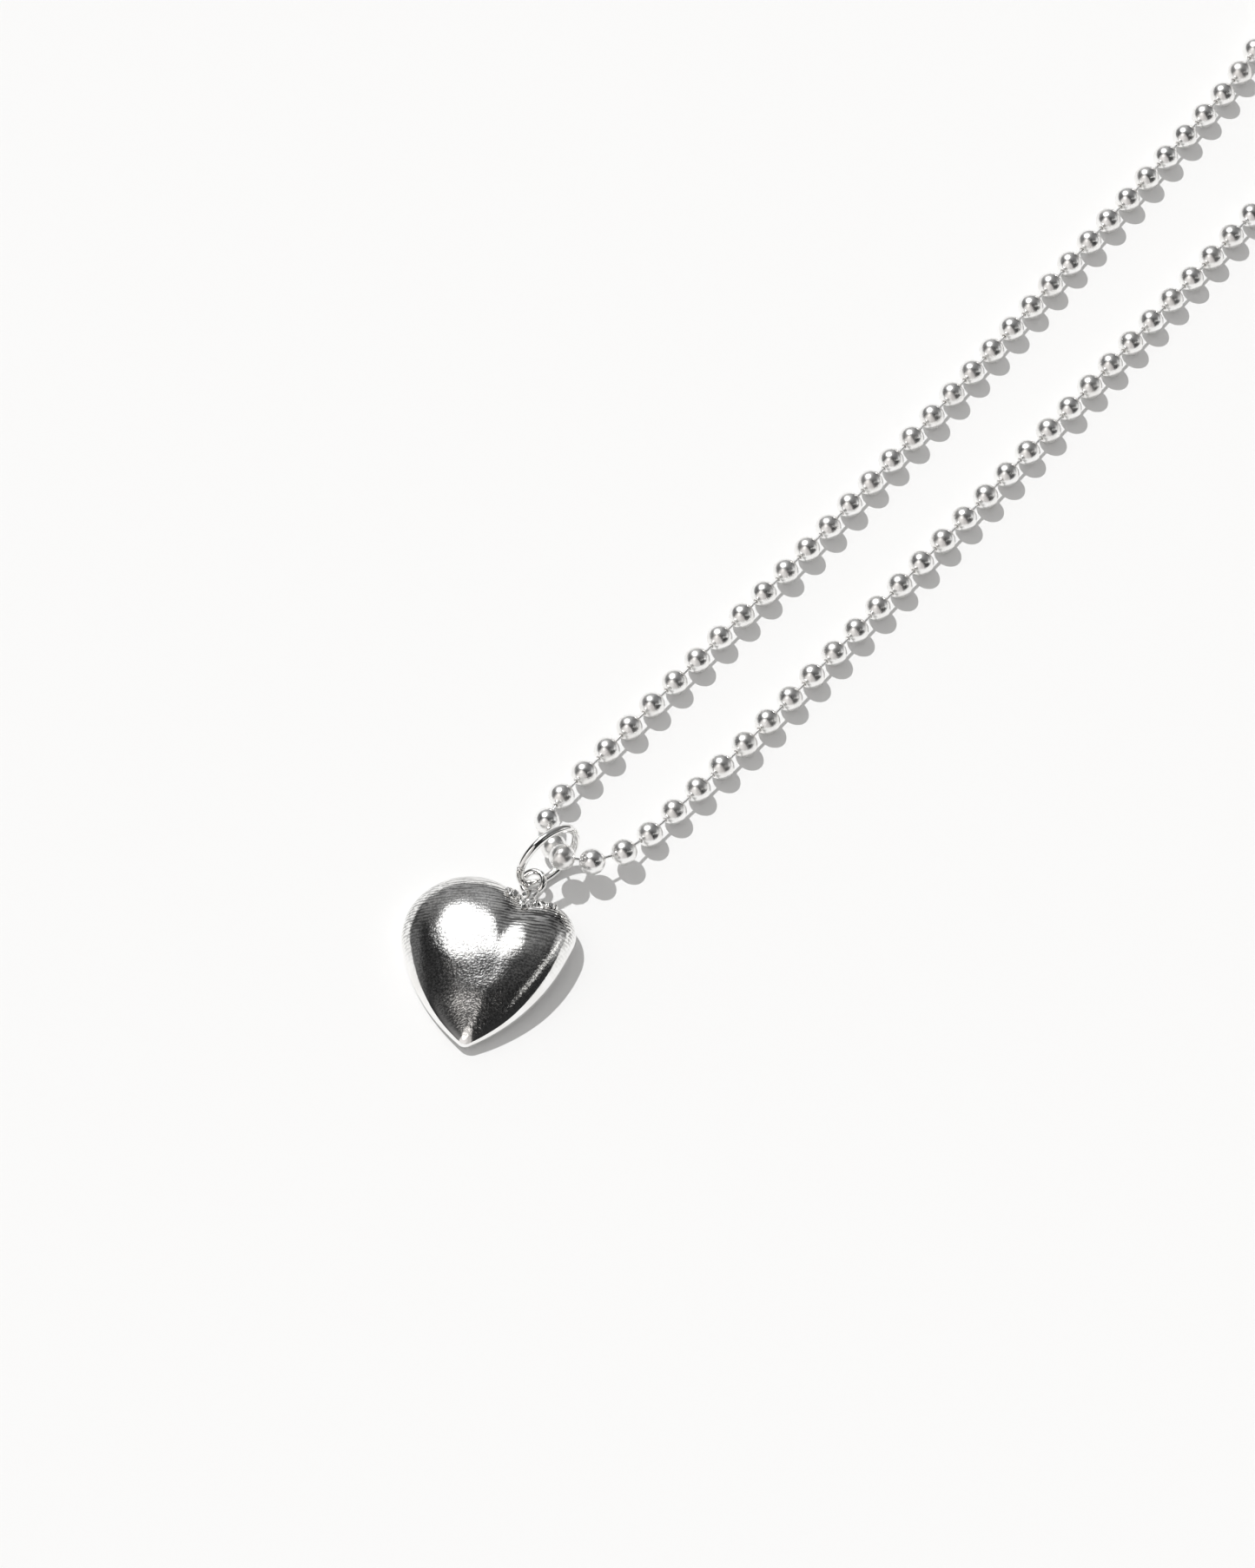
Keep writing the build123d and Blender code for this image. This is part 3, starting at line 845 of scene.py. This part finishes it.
studio = {
    "paperSize": 6000, "paperWhite": (0.893, 0.893, 0.891, 1), "paperRoughness": 0.9, "paperSheen": 0.1,
    "cameraTurn": 38.0,
    "sunDirection": (-0.325, 0.481, 0.813), "sunStrength": 2.29, "sunWidth": 1.2,
    "roomLight": (0.470, 0.466, 0.460, 1), "backdrop": (0.93, 0.93, 0.93, 1),
    "dark": (0.028, 0.028, 0.0285),
    "glows": [
        {"towards": (-0.31, 0.42, 0.85), "inner": 14, "outer": 20, "colour": (1.9, 1.9, 1.9)},
        {"towards": (-0.20, 0.52, 0.83), "inner": 16, "outer": 34, "colour": (0.08, 0.08, 0.08)},
        {"towards": (-0.92, 0.36, 0.15), "inner": 4, "outer": 26, "colour": (0.13, 0.13, 0.13)},
        {"towards": (0.40, 0.50, 0.77), "inner": 10, "outer": 48, "colour": (0.15, 0.15, 0.15)},
        {"towards": (-0.20, 0.93, 0.30), "inner": 6, "outer": 42, "colour": (0.30, 0.30, 0.30)},
        {"towards": (0.95, 0.15, 0.28), "inner": 5, "outer": 20, "colour": (0.50, 0.50, 0.50)},
        {"towards": (-0.45, -0.30, 0.84), "inner": 7, "outer": 18, "colour": (0.72, 0.70, 0.68)},
        {"towards": (0.90, 0.40, 0.12), "inner": 4, "outer": 30, "colour": (0.18, 0.18, 0.18)},
        {"towards": (-0.64, -0.66, 0.40), "inner": 12, "outer": 42, "colour": (0.28, 0.275, 0.27)},
    ],
    "panel": {
        "edges": [((0.707, 0.707, 0.0), -0.27), ((-0.447, 0.894, 0.0), 0.13)],
        "softness": 0.05, "colour": (0.52, 0.50, 0.49),
    },
    "strip": {
        "from": (0.97, 0.05, 0.24), "to": (0.52, -0.42, 0.74),
        "width": 0.05, "core": 0.3, "endSoftness": 0.02, "colour": (1.4, 1.39, 1.36),
    },
}


def intoFrame(vector, degrees):
    # studio directions are given as the camera's floor has them: x right, y away, z up
    return turned(degrees, 0, 0) @ np.array(vector)


def makePaper(v):
    # a matt sheet at floor height, its middle at the origin
    size = v["paperSize"] / 2 * mm
    data = bpy.data.meshes.new("paper")
    corners = [(-size, -size, 0), (size, -size, 0), (size, size, 0), (-size, size, 0)]
    data.from_pydata(corners, [], [(0, 1, 2, 3)])
    paper = bpy.data.objects.new("paper", data)
    bpy.context.scene.collection.objects.link(paper)
    material = bpy.data.materials.new("paper")
    material.use_nodes = True
    shader = material.node_tree.nodes["Principled BSDF"]
    shader.inputs["Base Color"].default_value = v["paperWhite"]
    shader.inputs["Roughness"].default_value = v["paperRoughness"]
    shader.inputs["Specular IOR Level"].default_value = v["paperSheen"]
    data.materials.append(material)


def makeSun(v):
    # a hard sun that casts the shadows; it shines from its direction towards the origin
    data = bpy.data.lights.new("sun", "SUN")
    data.energy = v["sunStrength"]
    data.angle = math.radians(v["sunWidth"])
    sun = bpy.data.objects.new("sun", data)
    bpy.context.scene.collection.objects.link(sun)
    towards = Vector(intoFrame(v["sunDirection"], v["cameraTurn"]))
    sun.rotation_euler = towards.to_track_quat("Z", "Y").to_euler()


def glowGroup():
    # a soft round glow: full where the ray's cosine with its direction is above the inner
    # angle's, and gone below the outer angle's
    tree, ins, outs = newGroup(
        "softGlow",
        [("Ray", "NodeSocketVector"), ("Towards", "NodeSocketVector"), ("Inner", "NodeSocketFloat"),
         ("Outer", "NodeSocketFloat"), ("Colour", "NodeSocketColor")],
        [("Colour", "NodeSocketColor")],
    )
    cosine = vectorNode(tree, "DOT_PRODUCT", ins["Ray"], ins["Towards"])
    share = ranged(tree, cosine, ins["Outer"], ins["Inner"], 0.0, 1.0, True)
    fill(tree, outs["Colour"], vectorNode(tree, "SCALE", ins["Colour"], share))
    return tree


def glowColour(tree, group, ray, one, turn):
    # one glow of the list: its angles go in as cosines
    made = node(tree, "ShaderNodeGroup", node_tree=group)
    fill(tree, made.inputs["Ray"], ray)
    fill(tree, made.inputs["Towards"], unit(intoFrame(one["towards"], turn)))
    fill(tree, made.inputs["Inner"], math.cos(math.radians(one["inner"])))
    fill(tree, made.inputs["Outer"], math.cos(math.radians(one["outer"])))
    fill(tree, made.inputs["Colour"], one["colour"] + (1,))
    return made.outputs["Colour"]


def stripColour(tree, ray, v, turn):
    # a stretch of a great circle between two directions: near its plane by the ray's part along
    # the pole, and between its ends by the ray's part along the middle
    start, end = (unit(intoFrame(v[key], turn)) for key in ("from", "to"))
    pole, middle = unit(np.cross(start, end)), unit(start + end)
    off = mathNode(tree, "ABSOLUTE", vectorNode(tree, "DOT_PRODUCT", ray, pole))
    near = ranged(tree, off, v["width"], v["width"] * v["core"], 0.0, 1.0, True)
    along = vectorNode(tree, "DOT_PRODUCT", ray, middle)
    reach = float(middle @ start)
    within = ranged(tree, along, reach - v["endSoftness"], reach, 0.0, 1.0, True)
    return vectorNode(tree, "SCALE", v["colour"], mathNode(tree, "MULTIPLY", near, within))


def panelColour(tree, ray, v, turn):
    # fills the room in front and to the left, where the ray is short of both edges
    inside = []
    for across, edge in v["edges"]:
        off = vectorNode(tree, "DOT_PRODUCT", ray, intoFrame(across, turn))
        inside.append(ranged(tree, off, edge, edge - v["softness"], 0.0, 1.0, True))
    return vectorNode(tree, "SCALE", v["colour"], mathNode(tree, "MULTIPLY", *inside))


def makeSurroundings(v):
    # what the silver mirrors is the sum of the glows, the strip, the panel and a dark room; the
    # paper takes an even room light, and the camera sees a pale backdrop
    world = bpy.data.worlds.new("studio")
    bpy.context.scene.world = world
    world.use_nodes = True
    tree = world.node_tree
    ray = node(tree, "ShaderNodeTexCoord").outputs["Generated"]
    group = glowGroup()
    colours = [glowColour(tree, group, ray, one, v["cameraTurn"]) for one in v["glows"]]
    colours.append(stripColour(tree, ray, v["strip"], v["cameraTurn"]))
    colours.append(panelColour(tree, ray, v["panel"], v["cameraTurn"]))
    seen = colours[0]
    for colour in colours[1:] + [v["dark"]]:
        seen = vectorNode(tree, "ADD", seen, colour)
    rays = node(tree, "ShaderNodeLightPath").outputs
    seen = mixNode(tree, rays["Is Diffuse Ray"], seen, v["roomLight"])
    seen = mixNode(tree, rays["Is Camera Ray"], seen, v["backdrop"])
    fill(tree, tree.nodes["Background"].inputs["Color"], seen)


makePaper(studio)
makeSun(studio)
makeSurroundings(studio)
bpy.context.scene.view_settings.view_transform = "Standard"
print("studio lit")
